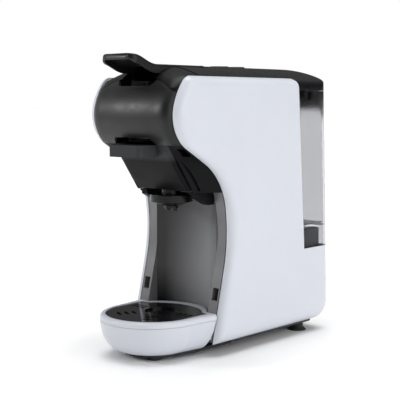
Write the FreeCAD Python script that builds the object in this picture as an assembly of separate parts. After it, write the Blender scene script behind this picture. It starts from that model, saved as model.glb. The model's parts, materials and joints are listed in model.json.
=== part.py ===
"""Pod coffee machine: side-panel body, brew head with lever, pod drawer, drip tray and rear water tank.

Millimetres. +Z is up, -Y is the front, X = 0 is the plane of symmetry.
The origin is at the centre of the footprint, on the surface that the feet stand on.
"""
import FreeCAD, Part

import math
import os

from FreeCAD import Vector

os.makedirs("parts", exist_ok=True)

# ---- driving dimensions ----
HALF_WIDTH = 62.5           # outer face of each side panel
PANEL_INNER_X = 54.0        # where the side panels end and the black body begins
EDGE_ROUND = 8.5            # rounding along the side panels' outer edges
WALL = 2.4                  # plastic wall thickness
FRONT_Y = -132.8            # foremost point, the tray's rim
REAR_Y = 132.8              # rearmost point, at the foot of the back
PANEL_BOTTOM_Z = 11.5
PANEL_TOP_Z = 271.2
CROWN_TOP_Z = 282.7         # top cover at the plane of symmetry
CROWN_RADIUS = 130.5
CROWN_SIDE_ROUND = 8.9
REAR_LEAN = 2.45            # degrees that the back leans forward
REAR_CORNER = 14.0          # vertical corner at the back
SEAM_Y = 62.4               # between top cover and tank lid
TANK_TOP_Z = 258.6
TANK_BOTTOM_Z = 92.6
TANK_FLOOR_Z = 115.0
TANK_FRONT_TOP_Y = 70.0     # tank's front wall at TANK_TOP_Z
TANK_FRONT_BOTTOM_Y = 82.2  # tank's front wall at TANK_BOTTOM_Z
GAP = 0.4                   # running gap between bodies
BREW_Y = -54.0              # axis of the pod cup
CUP_SPLIT_Z = 184.0            # where the cup's ring meets its tapered part
COVER_BOTTOM_Z = 207.0      # lower edge of the head's front cover
HEAD_BOTTOM_Z = 160.0
NOSE_Y = -106.8             # foremost point of the side panels
NOSE_Z = 233.0
LEVER_HALF = 22.0
PIVOT = (-34.0, 271.0)      # lever axis in Y and Z
TRAY_Y = -81.3              # centre of the round tray
TRAY_R = 51.5
TRAY_TOP_Z = 42.0
RAIL_IN = 41.5
RAIL_OUT = 52.8
DISH_Y = -69.0              # middle of the drip grid's dish
SIDE_SLOTS = (24.0, 30.5, 37.0)     # distances of the grid's slots from the dish's middle
FRONT_SLOTS = (28.0, 35.5, 43.0)
BUTTONS = ((16.0, 10.5), (41.0, 10.5))  # place in Y and radius, on the top cover
PANEL_SCREWS = ((-56.0, 236.0), (-10.0, 236.0), (40.0, 236.0), (-10.0, 40.0), (100.0, 50.0), (50.0, 110.0))
LEVER_OPENING_BACK = PIVOT[0] + 11.8


# ---- helpers ----
def save(shape, node):
    """Write one piece to its own file and stop if it isn't sound."""
    if not shape.isValid():
        raise ValueError(node + " is not valid")
    for solid in shape.Solids:
        if not solid.isClosed():
            raise ValueError(node + " is not closed")
    print(node, len(shape.Solids), round(shape.Volume, 1))
    shape.exportStep("parts/" + node + ".step")


def box(x0, x1, y0, y1, z0, z1):
    return Part.makeBox(x1 - x0, y1 - y0, z1 - z0, Vector(x0, y0, z0))


def rod(radius, start, length, axis="z"):
    along = {"x": Vector(1, 0, 0), "y": Vector(0, 1, 0), "z": Vector(0, 0, 1)}[axis]
    return Part.makeCylinder(radius, length, Vector(*start), along)


def cone(radius_low, radius_high, start, length):
    return Part.makeCone(radius_low, radius_high, length, Vector(*start), Vector(0, 0, 1))


def tube(outer, inner, start, length, axis="z"):
    return rod(outer, start, length, axis).cut(rod(inner, start, length, axis))


def fuse(*shapes):
    joined = shapes[0].multiFuse(list(shapes[1:]))
    return joined.removeSplitter()


def group(shapes):
    return Part.makeCompound(shapes)


def polygon(points):
    return Part.makePolygon(points + [points[0]])


def side_prism(points, x0, x1):
    """A (Y, Z) outline pushed along X."""
    wire = polygon([Vector(x0, y, z) for y, z in points])
    return Part.Face(wire).extrude(Vector(x1 - x0, 0, 0))


def plan_prism(points, z0, z1):
    """An (X, Y) outline pushed along Z."""
    wire = polygon([Vector(x, y, z0) for x, y in points])
    return Part.Face(wire).extrude(Vector(0, 0, z1 - z0))


def edges_where(shape, test):
    return [edge for edge in shape.Edges if test(edge)]


def is_vertical(edge):
    first = edge.Vertexes[0].Point
    last = edge.Vertexes[-1].Point
    return abs(first.x - last.x) < 0.01 and abs(first.y - last.y) < 0.01 and abs(first.z - last.z) > 0.5


def is_along_x(edge):
    first = edge.Vertexes[0].Point
    last = edge.Vertexes[-1].Point
    return abs(first.z - last.z) < 0.01 and abs(first.y - last.y) < 0.01 and abs(first.x - last.x) > 0.5


def rounded_box(x0, x1, y0, y1, z0, z1, radius):
    """A box with rounded vertical edges."""
    shape = box(x0, x1, y0, y1, z0, z1)
    return shape.makeFillet(radius, edges_where(shape, is_vertical))


def mirrored(shape):
    return shape.mirror(Vector(0, 0, 0), Vector(1, 0, 0))


class Trace:
    """Draws tangent lines and arcs in the Y-Z plane, like walking with a heading in degrees."""

    def __init__(self, y, z, heading, x=0.0):
        self.y = y
        self.z = z
        self.x = x
        self.heading = heading
        self.edges = []

    def point(self):
        return Vector(self.x, self.y, self.z)

    def line(self, length):
        start = self.point()
        self.y += length * math.cos(math.radians(self.heading))
        self.z += length * math.sin(math.radians(self.heading))
        self.edges.append(Part.makeLine(start, self.point()))

    def line_to(self, y, z):
        start = self.point()
        self.y = y
        self.z = z
        self.edges.append(Part.makeLine(start, self.point()))

    def arc(self, radius, turn):
        side = math.copysign(1.0, turn)
        centre_y = self.y - side * radius * math.sin(math.radians(self.heading))
        centre_z = self.z + side * radius * math.cos(math.radians(self.heading))
        points = [self.point()]
        for share in (0.5, 1.0):
            angle = math.radians(self.heading + share * turn)
            y = centre_y + side * radius * math.sin(angle)
            z = centre_z - side * radius * math.cos(angle)
            points.append(Vector(self.x, y, z))
        self.edges.append(Part.Arc(*points).toShape())
        self.y = points[2].y
        self.z = points[2].z
        self.heading += turn

    def face(self):
        return Part.Face(Part.Wire(self.edges))


# ---- the body's outer form ----
def front_trace(x=0.0, inset=0.0):
    """The S-shaped front edge, from the top corner down to the toe."""
    trace = Trace(-84.0, PANEL_TOP_Z - inset, 180.0, x)
    trace.arc(12.9 - inset, 50.3)
    trace.arc(60.7 - inset, 24.8)
    trace.arc(35.4 - inset, 74.5)
    trace.line(29.8)
    trace.arc(61.8 + inset, -50.9)
    trace.arc(158.1 + inset, -21.6)
    return trace


def toe(trace, bottom_z):
    slope = math.radians(trace.heading)
    trace.line((bottom_z - trace.z) / math.sin(slope))


def side_body(x_outer, inset, rounding):
    """The side view pushed to both sides, with rounded front, top and bottom edges."""
    trace = front_trace(-x_outer, inset)
    toe(trace, PANEL_BOTTOM_Z + inset)
    trace.line_to(180.0, PANEL_BOTTOM_Z + inset)
    trace.line_to(180.0, PANEL_TOP_Z - inset)
    trace.line_to(-84.0, PANEL_TOP_Z - inset)
    shape = trace.face().extrude(Vector(2 * x_outer, 0, 0))

    def outer_edge(edge):
        flat = all(abs(abs(v.Point.x) - x_outer) < 0.01 for v in edge.Vertexes)
        return flat and edge.BoundBox.XLength < 0.01 and edge.CenterOfMass.y < 179.0

    return shape.makeFillet(rounding, edges_where(shape, outer_edge))


def rear_line_y(z):
    return REAR_Y - (z - 35.0) * math.tan(math.radians(REAR_LEAN))


def rear_body(x_outer, inset, rounding):
    """The back with its leaning face, its foot corner and its rounded top, open to the front."""
    lean = math.radians(REAR_LEAN)
    foot_round = 22.0 - inset
    top_round = 20.0 - inset
    y_foot = REAR_Y - inset
    trace = Trace(-200.0, PANEL_BOTTOM_Z + inset, 0.0, -x_outer)
    trace.line_to(y_foot - foot_round * 1.0, PANEL_BOTTOM_Z + inset)
    trace.heading = 0.0
    trace.arc(foot_round, 90.0 + REAR_LEAN)
    rise = (CROWN_TOP_Z - 17.5) - trace.z
    trace.line(rise / math.cos(lean))
    trace.arc(top_round, 80.0)
    trace.line_to(40.0, CROWN_TOP_Z + 1.0 - inset)
    trace.line_to(-200.0, CROWN_TOP_Z + 1.0 - inset)
    trace.line_to(-200.0, PANEL_BOTTOM_Z + inset)
    shape = trace.face().extrude(Vector(2 * x_outer, 0, 0))

    def outer_edge(edge):
        flat = edge.BoundBox.XLength < 0.01 and abs(abs(edge.CenterOfMass.x) - x_outer) < 0.01
        return flat and edge.CenterOfMass.y > 60.0

    return shape.makeFillet(rounding, edges_where(shape, outer_edge))


def crown_prism(inset=0.0):
    """Everything below the crowned top and between the two sides."""
    radius = CROWN_RADIUS - inset
    side = HALF_WIDTH - inset
    small = CROWN_SIDE_ROUND - inset
    centre_z = CROWN_TOP_Z - CROWN_RADIUS
    corner_x = side - small
    reach = radius - small
    corner_z = centre_z + math.sqrt(reach ** 2 - corner_x ** 2)
    lean = math.atan2(corner_x, corner_z - centre_z)
    join_x = radius * math.sin(lean)
    join_z = centre_z + radius * math.cos(lean)
    half = (lean + math.pi / 2) / 2
    mid_x = corner_x + small * math.sin(half)
    mid_z = corner_z + small * math.cos(half)
    y = -220.0
    top = Part.Arc(Vector(-join_x, y, join_z), Vector(0, y, centre_z + radius), Vector(join_x, y, join_z))
    right = Part.Arc(Vector(join_x, y, join_z), Vector(mid_x, y, mid_z), Vector(side, y, corner_z))
    left = Part.Arc(Vector(-side, y, corner_z), Vector(-mid_x, y, mid_z), Vector(-join_x, y, join_z))
    edges = [top.toShape(), right.toShape()]
    edges.append(Part.makeLine(Vector(side, y, corner_z), Vector(side, y, -20)))
    edges.append(Part.makeLine(Vector(side, y, -20), Vector(-side, y, -20)))
    edges.append(Part.makeLine(Vector(-side, y, -20), Vector(-side, y, corner_z)))
    edges.append(left.toShape())
    return Part.Face(Part.Wire(edges)).extrude(Vector(0, 440, 0))


def whole_body(inset=0.0):
    """The machine's outer form without the head's nose, as one convex-backed solid."""
    sides = side_body(HALF_WIDTH - inset, inset, EDGE_ROUND - inset)
    rear = rear_body(HALF_WIDTH - inset, inset, REAR_CORNER - inset)
    return sides.common(rear).common(crown_prism(inset))


def tank_front_y(z):
    share = (TANK_TOP_Z - z) / (TANK_TOP_Z - TANK_BOTTOM_Z)
    return TANK_FRONT_TOP_Y + share * (TANK_FRONT_BOTTOM_Y - TANK_FRONT_TOP_Y)


def tank_zone(gap=0.0, x_half=80.0):
    """The space behind the side panels that the tank and its lid fill."""
    low = TANK_BOTTOM_Z - gap
    trace = Trace(TANK_FRONT_BOTTOM_Y - gap, low, 0.0, -x_half)
    trace.line_to(200.0, low)
    trace.line_to(200.0, 320.0)
    trace.line_to(SEAM_Y - gap - 6.0, 320.0)
    trace.line_to(SEAM_Y - gap - 6.0, PANEL_TOP_Z + 0.2 - gap)
    trace.line_to(64.6, PANEL_TOP_Z + 0.2 - gap)
    trace.heading = 0.0
    trace.arc(5.4 - gap, -86.0)
    trace.line_to(TANK_FRONT_BOTTOM_Y - gap, low)
    return trace.face().extrude(Vector(2 * x_half, 0, 0))


def behind_front(inset, x0, x1):
    """Everything behind the S-shaped front edge, between two X planes."""
    trace = front_trace(x0, inset)
    toe(trace, 0.0)
    trace.line_to(200.0, 0.0)
    trace.line_to(200.0, PANEL_TOP_Z - inset)
    trace.line_to(-84.0, PANEL_TOP_Z - inset)
    return trace.face().extrude(Vector(x1 - x0, 0, 0))


FRONT_EDGE = behind_front(0.0, 0.0, 1.0)


def front_y(z):
    """Where the side panels' front edge lies at a height."""
    line = Part.makeLine(Vector(0.5, -200, z), Vector(0.5, 190, z))
    return FRONT_EDGE.common(line).BoundBox.YMin


# ---- outer shells ----
BODY = whole_body()
BODY_INSIDE = whole_body(WALL)
SHELL = BODY.cut(BODY_INSIDE)
CROWN = rear_body(HALF_WIDTH, 0.0, REAR_CORNER).common(crown_prism())
CROWN_INSIDE = rear_body(HALF_WIDTH - WALL, WALL, REAR_CORNER - WALL).common(crown_prism(WALL))
TANK_ZONE = tank_zone()


def side_panel_right():
    outer = box(PANEL_INNER_X, 80, -150, 150, 0, 290)
    panel = SHELL.common(outer).cut(TANK_ZONE)
    bosses = []
    for y, z in PANEL_SCREWS:
        boss = tube(3.6, 1.5, (PANEL_INNER_X, y, z), HALF_WIDTH - PANEL_INNER_X - 1.0, "x")
        bosses.append(boss)
    return fuse(panel, *bosses)


def panel_screws():
    """Six screws a side that hold the panels to the inner frame."""
    screws = []
    for y, z in PANEL_SCREWS:
        shank = rod(1.5, (PANEL_INNER_X - 2.0, y, z), 6.5, "x")
        head = rod(2.8, (PANEL_INNER_X - 4.2, y, z), 2.2, "x")
        screw = fuse(shank, head)
        screws.append(screw)
        screws.append(mirrored(screw))
    return group(screws)


# ---- head ----
def nose_reach(x):
    """How far the head stands in front of the side panels at a distance from the middle."""
    share = abs(x) / 53.4
    reach = 7.6 - 3.0 * share ** 2
    corner = abs(x) - 44.4
    if corner > 0:
        reach -= 9.0 - math.sqrt(max(81.0 - corner ** 2, 0.0))
    return reach


def crown_z(x):
    return CROWN_TOP_Z - CROWN_RADIUS + math.sqrt(CROWN_RADIUS ** 2 - x ** 2)


def head_section(x, inset):
    """The head's outline in the Y-Z plane at one X."""
    side = x * (53.4 - inset) / 53.4
    nose = NOSE_Y - nose_reach(x) + inset
    top_y = -70.0
    top_z = crown_z(x) - inset - 0.6
    low_z = COVER_BOTTOM_Z - 1.0
    low_y = nose + 35.0 - math.sqrt(35.0 ** 2 - (NOSE_Z - low_z) ** 2)
    mid_low_z = (NOSE_Z + low_z) / 2
    mid_low_y = nose + 35.0 - math.sqrt(35.0 ** 2 - (NOSE_Z - mid_low_z) ** 2)
    brow_z = 260.0 - inset
    brow_y = nose + 46.0 - math.sqrt(46.0 ** 2 - (brow_z - NOSE_Z) ** 2)
    mid_brow_z = (NOSE_Z + brow_z) / 2
    mid_brow_y = nose + 46.0 - math.sqrt(46.0 ** 2 - (mid_brow_z - NOSE_Z) ** 2)
    bend_y = brow_y + 0.33 * (top_y - brow_y)
    bend_z = brow_z + 0.62 * (top_z - brow_z)
    low = Vector(side, low_y, low_z)
    middle = Vector(side, nose, NOSE_Z)
    brow = Vector(side, brow_y, brow_z)
    top = Vector(side, top_y, top_z)
    back_top = Vector(side, -60.0, top_z)
    back_low = Vector(side, -60.0, low_z)
    edges = [
        Part.Arc(low, Vector(side, mid_low_y, mid_low_z), middle).toShape(),
        Part.Arc(middle, Vector(side, mid_brow_y, mid_brow_z), brow).toShape(),
        Part.Arc(brow, Vector(side, bend_y, bend_z), top).toShape(),
        Part.makeLine(top, back_top),
        Part.makeLine(back_top, back_low),
        Part.makeLine(back_low, low),
    ]
    return Part.Wire(edges)


def head_solid(inset=0.0):
    stations = [53.4, 52.6, 50.8, 48.0, 44.4, 36.0, 24.0, 12.0]
    places = [-x for x in stations] + [0.0] + stations[::-1]
    return Part.makeLoft([head_section(x, inset) for x in places], True, False)


HEAD = head_solid()
HEAD_INSIDE = head_solid(WALL)


def seam_prism(gap):
    """Everything below the arched seam between the front cover and the top cover."""
    radius = 96.0
    top = 271.5 - gap
    half = 60.0
    side_z = top - radius + math.sqrt(radius ** 2 - half ** 2)
    y = -160.0
    arc = Part.Arc(Vector(-half, y, side_z), Vector(0, y, top), Vector(half, y, side_z)).toShape()
    edges = [
        arc,
        Part.makeLine(Vector(half, y, side_z), Vector(half, y, 100)),
        Part.makeLine(Vector(half, y, 100), Vector(-half, y, 100)),
        Part.makeLine(Vector(-half, y, 100), Vector(-half, y, side_z)),
    ]
    return Part.Face(Part.Wire(edges)).extrude(Vector(0, 200, 0))


def lower_notch():
    """Finger notch in the front cover, above the drawer's lip."""
    points = [(-28.5, 200), (-28.5, 207.4), (-23.0, 213.4), (23.0, 213.4), (28.5, 207.4), (28.5, 200)]
    wire = polygon([Vector(x, -140, z) for x, z in points])
    notch = Part.Face(wire).extrude(Vector(0, 60, 0))
    rims = edges_where(notch, lambda e: e.BoundBox.YLength > 50 and e.CenterOfMass.z > 206)
    return notch.makeFillet(2.0, rims)


def upper_notch():
    """Notch in the front cover's top edge, under the lever's tip."""
    points = [(-28.0, 300), (-28.0, 270.0), (-21.5, 262.0), (21.5, 262.0), (28.0, 270.0), (28.0, 300)]
    wire = polygon([Vector(x, -140, z) for x, z in points])
    notch = Part.Face(wire).extrude(Vector(0, 60, 0))
    low = edges_where(notch, lambda e: e.BoundBox.YLength > 50 and e.CenterOfMass.z < 263)
    return notch.makeFillet(4.0, low)


def head_front_cover():
    shell = HEAD.cut(HEAD_INSIDE).common(seam_prism(0.3))
    front = box(-70, 70, -150, -64, COVER_BOTTOM_Z, 300)
    cover = shell.common(front).cut(lower_notch()).cut(upper_notch())
    ribs = []
    for x in (-40.0, 37.6):
        rib = box(x, x + WALL, -140, -84, 216, 252)
        ribs.append(rib.common(HEAD_INSIDE))
    return fuse(cover, *ribs)


def top_cover():
    """Crowned cover with the lever opening and two button holes, and its hood over the head."""
    roof = CROWN.cut(CROWN_INSIDE).common(box(-PANEL_INNER_X + 0.3, PANEL_INNER_X - 0.3, -70, SEAM_Y, 262, 290))
    hood = HEAD.cut(HEAD_INSIDE).cut(seam_prism(0.0)).common(box(-70, 70, -150, -69.9, 250, 290))
    cover = fuse(roof, hood)
    opening = box(-LEVER_HALF - 0.6, LEVER_HALF + 0.6, -140, LEVER_OPENING_BACK, 255, 300)
    cover = cover.cut(opening)
    for y, radius in BUTTONS:
        cover = cover.cut(rod(radius + 0.3, (0, y, 255), 40))
    well = box(-14, 14, 2, 54, 272, 274)
    posts = [box(-14, -12, 2, 54, 272, 281), box(12, 14, 2, 54, 272, 281)]
    rests = [post.common(CROWN) for post in posts]
    well = fuse(well, *rests)
    for y, radius in BUTTONS:
        well = well.cut(rod(3.3, (0, y, 270), 10))
    return fuse(cover, well)


def lever_well():
    """Dark liner that closes the head under the lever's tip."""
    outline = [(-101.0, 258.8), (-80.5, 258.8), (-80.5, 275.5), (-90.0, 271.5), (-98.0, 266.0), (-101.0, 261.4)]
    solid = side_prism(outline, -30.4, 30.4)
    hollow = box(-28.4, 28.4, -110, -78, 261.0, 290)
    return solid.cut(hollow).common(HEAD_INSIDE)


def cheek_right():
    """Black side of the head beside the drawer, which runs down to the top of the niche."""
    levels = (206.7, 197.0, 189.0, 181.0, 173.0, 166.0, HEAD_BOTTOM_Z)

    def section(z, inset):
        inner_y = -95.8 + (COVER_BOTTOM_Z - z) * 0.70 + inset
        outer_y = front_y(z) - 0.4 + inset
        points = [
            Vector(38.6 + inset, inner_y, z),
            Vector(53.6 - inset, outer_y, z),
            Vector(53.6 - inset, -24.0 - inset, z),
            Vector(38.6 + inset, -24.0 - inset, z),
        ]
        return polygon(points)

    outer = Part.makeLoft([section(z, 0.0) for z in levels], True, True)
    hollow = Part.makeLoft([section(z, 2.0) for z in levels], True, True)
    hollow = hollow.common(box(0, 90, -150, 0, HEAD_BOTTOM_Z + 2.0, 300))
    pocket = box(44.0, 51.0, -105, -70, 196.0, 203.5)
    return outer.cut(hollow).cut(pocket)


def head_floor():
    """Floor of the head above the niche, slotted so that the cup can slide forward."""
    plate = box(-38.2, 38.2, -60.0, -24.0, HEAD_BOTTOM_Z - 2.0, HEAD_BOTTOM_Z)
    slot = box(-29.0, 29.0, -80.0, BREW_Y, 150, 170)
    slot = slot.fuse(rod(29.0, (0, BREW_Y, 150), 20))
    runner = box(30.5, 38.2, -58.0, -33.0, 147.0, HEAD_BOTTOM_Z)
    runner = runner.cut(side_prism([(-60, 140), (-60, 156), (-40, 146)], 20, 50))
    return fuse(plate.cut(slot), runner, mirrored(runner))


def brew_frame():
    """Metal frame that guides the piston and carries the lever's pin."""
    sides = []
    for x in (-28.0, 25.0):
        cheek = side_prism([(-79, 212), (-22, 212), (-22, 276.5), (-44, 276.5), (-79, 246)], x, x + 3.0)
        sides.append(cheek)
    guide = box(-50.4, 50.4, -84.0, -20.0, 212.0, 214.5)
    collar = rod(23.0, (0, BREW_Y, 212.0), 6.5)
    frame = fuse(guide, collar, *sides)
    frame = frame.cut(rod(18.56, (0, BREW_Y, 200), 40))
    return frame.cut(rod(3.0, (-60, PIVOT[0], PIVOT[1]), 120, "x"))


def lever_pin():
    shaft = rod(3.0, (-30.4, PIVOT[0], PIVOT[1]), 60.8, "x")
    heads = [rod(4.4, (-31.9, PIVOT[0], PIVOT[1]), 1.5, "x"), rod(4.4, (30.4, PIVOT[0], PIVOT[1]), 1.5, "x")]
    return fuse(shaft, *heads)


def lever_outline(inset):
    """The lever's side view: barrel at the pivot, flat arm, upswept tip."""
    trace = Trace(PIVOT[0], PIVOT[1] + 11.3 - inset, 180.0)
    trace.line(58.0)
    trace.arc(32.0 + inset, -24.0)
    trace.line(9.4)
    trace.arc(34.0 - inset, 12.0)
    trace.line(2.2)
    return trace


def lever():
    """Hollow lever open below, with two cams that press the piston."""
    top = lever_outline(0.0)
    top.arc(1.9, 160.0)
    top.line_to(-110.5, 281.9)
    top.line_to(-99.0, 277.2)
    top.line_to(-88.0, 275.4)
    top.line_to(PIVOT[0], 275.2)
    top.line_to(PIVOT[0], PIVOT[1] + 11.3)
    blade = top.face().extrude(Vector(2 * LEVER_HALF, 0, 0))
    blade.translate(Vector(-LEVER_HALF, 0, 0))
    barrel = rod(11.3, (-LEVER_HALF, PIVOT[0], PIVOT[1]), 2 * LEVER_HALF, "x")
    shell = fuse(blade, barrel)
    hollow = lever_outline(2.4)
    hollow.line_to(-112.0, 262.0)
    hollow.line_to(PIVOT[0] - 13.0, 262.0)
    hollow.line_to(PIVOT[0] - 13.0, PIVOT[1] + 8.9)
    hollow.line_to(PIVOT[0], PIVOT[1] + 8.9)
    cavity = hollow.face().extrude(Vector(2 * LEVER_HALF - 4.8, 0, 0))
    cavity.translate(Vector(-LEVER_HALF + 2.4, 0, 0))
    cavity = cavity.common(box(-30, 30, -121.6, PIVOT[0] - 13.0, 255, 300))
    shell = shell.cut(cavity)
    cams = []
    radii = ((-30.0, 18.0), (-14.0, 22.6), (0.0, 24.9), (20.0, 22.4), (40.0, 20.0), (60.0, 17.6), (80.0, 16.2), (110.0, 11.0))
    for x in (-20.0, 12.0):
        points = []
        for angle, radius in radii:
            turn = math.radians(angle)
            points.append(Vector(x, PIVOT[0] + radius * math.sin(turn), PIVOT[1] - radius * math.cos(turn)))
        curve = Part.BSplineCurve()
        curve.interpolate(points)
        close = Part.makePolygon([points[-1], Vector(x, PIVOT[0], PIVOT[1] + 9.0), points[0]])
        face = Part.Face(Part.Wire([curve.toShape()] + close.Edges))
        cams.append(face.extrude(Vector(8.0, 0, 0)))
    body = fuse(shell, *cams)
    return body.cut(rod(3.06, (-60, PIVOT[0], PIVOT[1]), 120, "x"))


def brew_piston():
    """Stem and pressure plate, which the cams push down onto the pod."""
    stem = rod(18.5, (0, BREW_Y, 199.0), 40.0)
    plate = rounded_box(-22.0, 22.0, -76.0, -26.0, 238.5, 244.0, 6.0)
    port = rod(4.0, (0, -70.0, 244.0), 6.0)
    bore = rod(2.0, (0, -70.0, 240.0), 12.0)
    groove = tube(19.0, 16.8, (0, BREW_Y, 201.0), 2.2)
    hollow = rod(14.0, (0, BREW_Y, 206.0), 30.0)
    return fuse(stem, plate, port).cut(bore).cut(groove).cut(hollow)


def piston_seal():
    ring = Part.makeTorus(17.4, 1.0, Vector(0, BREW_Y, 202.1), Vector(0, 0, 1))
    return ring.common(tube(18.3, 16.8, (0, BREW_Y, 200.0), 5.0))


def needle_plate():
    """Steel plate under the piston with three hollow needles."""
    plate = rod(15.0, (0, BREW_Y, 198.4), 0.6)
    needles = [plate]
    for turn in range(3):
        angle = math.radians(120 * turn + 90)
        x = 7.0 * math.cos(angle)
        y = BREW_Y + 7.0 * math.sin(angle)
        needles.append(cone(0.4, 1.1, (x, y, 197.4), 1.0))
    return fuse(*needles)


def spring(radius, wire, start, height, turns):
    """A coil spring about a vertical axis."""
    x, y, z = start
    helix = Part.makeHelix(height / turns, height, radius)
    section = Part.Wire(Part.makeCircle(wire, Vector(radius, 0, 0), Vector(0, 1, 0)))
    coil = Part.Wire(helix).makePipeShell([section], True, True)
    coil.translate(Vector(x, y, z))
    return coil


# ---- pod drawer ----
def drawer_front():
    """Finger lip and tapered chin in front of the cup."""
    chin = Trace(-97.0, 206.6, 0.0, -36.0)
    chin.line_to(-30.0, 206.6)
    chin.line_to(-30.0, 192.0)
    chin.line_to(-58.0, 161.6)
    chin.line_to(-66.0, 161.6)
    low = Vector(-36.0, -66.0, 161.6)
    high = Vector(-36.0, -97.0, 206.6)
    chin.edges.append(Part.Arc(low, Vector(-36.0, -83.6, 184.2), high).toShape())
    solid = chin.face().extrude(Vector(72.0, 0, 0))
    corners = edges_where(solid, lambda e: e.BoundBox.XLength < 0.01 and e.CenterOfMass.y < -78)
    solid = solid.makeFillet(4.0, corners)
    hollow = side_prism([(-94.2, 210), (-94.2, 206), (-81.0, 184.2), (-63.4, 160), (-20, 160), (-20, 210)], -33.6, 33.6)
    lip = rounded_box(-LEVER_HALF, LEVER_HALF, -118.6, -92.0, 195.2, 206.6, 5.0)
    grip = rounded_box(-19.6, 19.6, -116.2, -96.5, 190.0, 203.8, 3.0)
    front = fuse(solid.cut(hollow), lip.cut(grip.common(box(-50, 50, -200, -96.6, 0, 300))))
    return front.cut(rod(27.2, (0, BREW_Y, 188.7), 30.0))


def cup_carrier():
    """Plate that carries the cup, with a runner on each side."""
    plate = box(-33.4, 33.4, -80.0, -27.0, 186.0, 188.6)
    plate = plate.cut(rod(24.3, (0, BREW_Y, 180), 20))
    runners = [box(-33.4, -30.4, -80.0, -27.0, 188.6, 194.0), box(30.4, 33.4, -80.0, -27.0, 188.6, 194.0)]
    return fuse(plate, *runners)


def pod_cup():
    """Tapered lower part of the cup with a round outlet disc below."""
    rim = rod(24.0, (0, BREW_Y, 183.0), CUP_SPLIT_Z - 183.0)
    taper = cone(10.0, 24.0, (0, BREW_Y, 162.0), 21.0)
    neck = rod(9.8, (0, BREW_Y, 155.0), 8.0)
    disc = rod(21.2, (0, BREW_Y, 149.4), 7.4)
    disc = disc.makeFillet(1.0, edges_where(disc, lambda e: e.CenterOfMass.z > 156))
    tip = cone(9.0, 20.4, (0, BREW_Y, 145.0), 4.4)
    outside = fuse(rim, taper, neck, disc, tip)
    hollow = fuse(cone(9.2, 20.4, (0, BREW_Y, 165.6), 18.0), rod(20.4, (0, BREW_Y, 183.6), 20.0))
    drain = rod(2.6, (0, BREW_Y, 140.0), 30.0)
    return outside.cut(fuse(hollow, drain))


def cup_ring():
    """Upper part of the cup, with a flange that rests on the carrier."""
    wall = tube(24.0, 20.4, (0, BREW_Y, CUP_SPLIT_Z), 12.4)
    flange = tube(27.0, 22.0, (0, BREW_Y, 188.8), 3.0)
    return fuse(wall, flange)


def cup_spout():
    """Outlet under the cup with two coffee ports."""
    ring = tube(7.0, 2.8, (0, BREW_Y, 142.8), 2.2)
    nubs = [tube(2.2, 1.2, (x, BREW_Y, 140.0), 2.8) for x in (-4.9, 4.9)]
    return fuse(ring, *nubs)


# ---- niche ----
def niche_wall():
    """Concave back wall of the cup niche."""
    low = 14.6
    front = Part.Arc(Vector(-41.3, -33.5, low), Vector(0, -21.5, low), Vector(41.3, -33.5, low)).toShape()
    back = Part.Arc(Vector(41.3, -31.0, low), Vector(0, -19.0, low), Vector(-41.3, -31.0, low)).toShape()
    ends = [
        Part.makeLine(Vector(41.3, -33.5, low), Vector(41.3, -31.0, low)),
        Part.makeLine(Vector(-41.3, -31.0, low), Vector(-41.3, -33.5, low)),
    ]
    face = Part.Face(Part.Wire([front, ends[0], back, ends[1]]))
    return face.extrude(Vector(0, 0, HEAD_BOTTOM_Z - 2.2 - low))


SLOT_LOWS = (15.5, 54.0)    # lower ends of the tray slots in each rail


def rail_right():
    """Satin strip at the side of the niche, with slots that the tray's hooks fit."""
    limits = box(RAIL_IN, RAIL_OUT, -120, -30.6, 14.8, HEAD_BOTTOM_Z - 0.2)
    solid = behind_front(0.0, RAIL_IN, RAIL_OUT).common(limits)
    hollow = behind_front(2.2, RAIL_IN + 2.0, RAIL_OUT + 10.0)
    rail = solid.cut(hollow)
    for low in SLOT_LOWS:
        rail = rail.cut(box(44.0, 51.4, -120, -20, low, low + 12.0))
    return rail


# ---- base ----
def base_plate():
    """Floor of the machine, with a foot that reaches forward under the tray."""
    half = PANEL_INNER_X - 0.4
    floor = BODY.common(box(-half, half, -20.0, 150, 0, 14.4))
    sides = [BODY.common(box(41.7, half, -43.0, -20.0, 0, 14.4)), BODY.common(box(-half, -41.7, -43.0, -20.0, 0, 14.4))]
    slab = box(-50.0, 50.0, -20.0, 118.0, 9.0, 12.6)
    slab = slab.makeFillet(10.0, edges_where(slab, lambda e: is_vertical(e) and e.CenterOfMass.y > 0))
    outline = [(-36, -4), (-36, -60), (-30, -86), (30, -86), (36, -60), (36, -4)]
    reach = fuse(plan_prism(outline, 3.0, 6.0), rod(31.0, (0, -78.0, 3.0), 3.0))
    step = box(-36.0, 36.0, -14.0, -4.0, 3.0, 12.0)
    plate = fuse(floor, *sides, slab, reach, step)
    vents = []
    for row in range(5):
        y = 10.0 + 12.0 * row
        vents.append(box(-22.0, 22.0, y, y + 5.0, 0, 20))
    return plate.cut(group(vents))


def foot(x, y, top, radius):
    """Rubber foot, flared where it meets the table."""
    low = cone(radius, radius * 0.72, (x, y, 0.0), 3.0)
    neck = rod(radius * 0.66, (x, y, 3.0), top - 3.0)
    return fuse(low, neck)


def rubber_feet():
    rear = [foot(x, 100.0, 9.0, 10.5) for x in (-40.0, 40.0)]
    front = [rod(7.0, (x, -94.0, 0.0), 3.0) for x in (-16.0, 16.0)]
    return group(rear + front)


# ---- back and inside ----
def tank_bay():
    """Fixed wall and shelf that the tank stands against."""
    wall = side_prism(
        [(65.6, 255.0), (67.6, 255.0), (tank_front_y(94.0) - 1.4, 94.0), (tank_front_y(92.2) - 1.4, 89.8),
         (tank_front_y(92.2) - 3.6, 89.8)], -53.2, 53.2)
    shelf = BODY_INSIDE.common(box(-53.2, 53.2, 76.0, 150, 89.8, 92.2))
    return fuse(wall, shelf).cut(rod(3.2, (0, 101.0, 80), 20))


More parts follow.
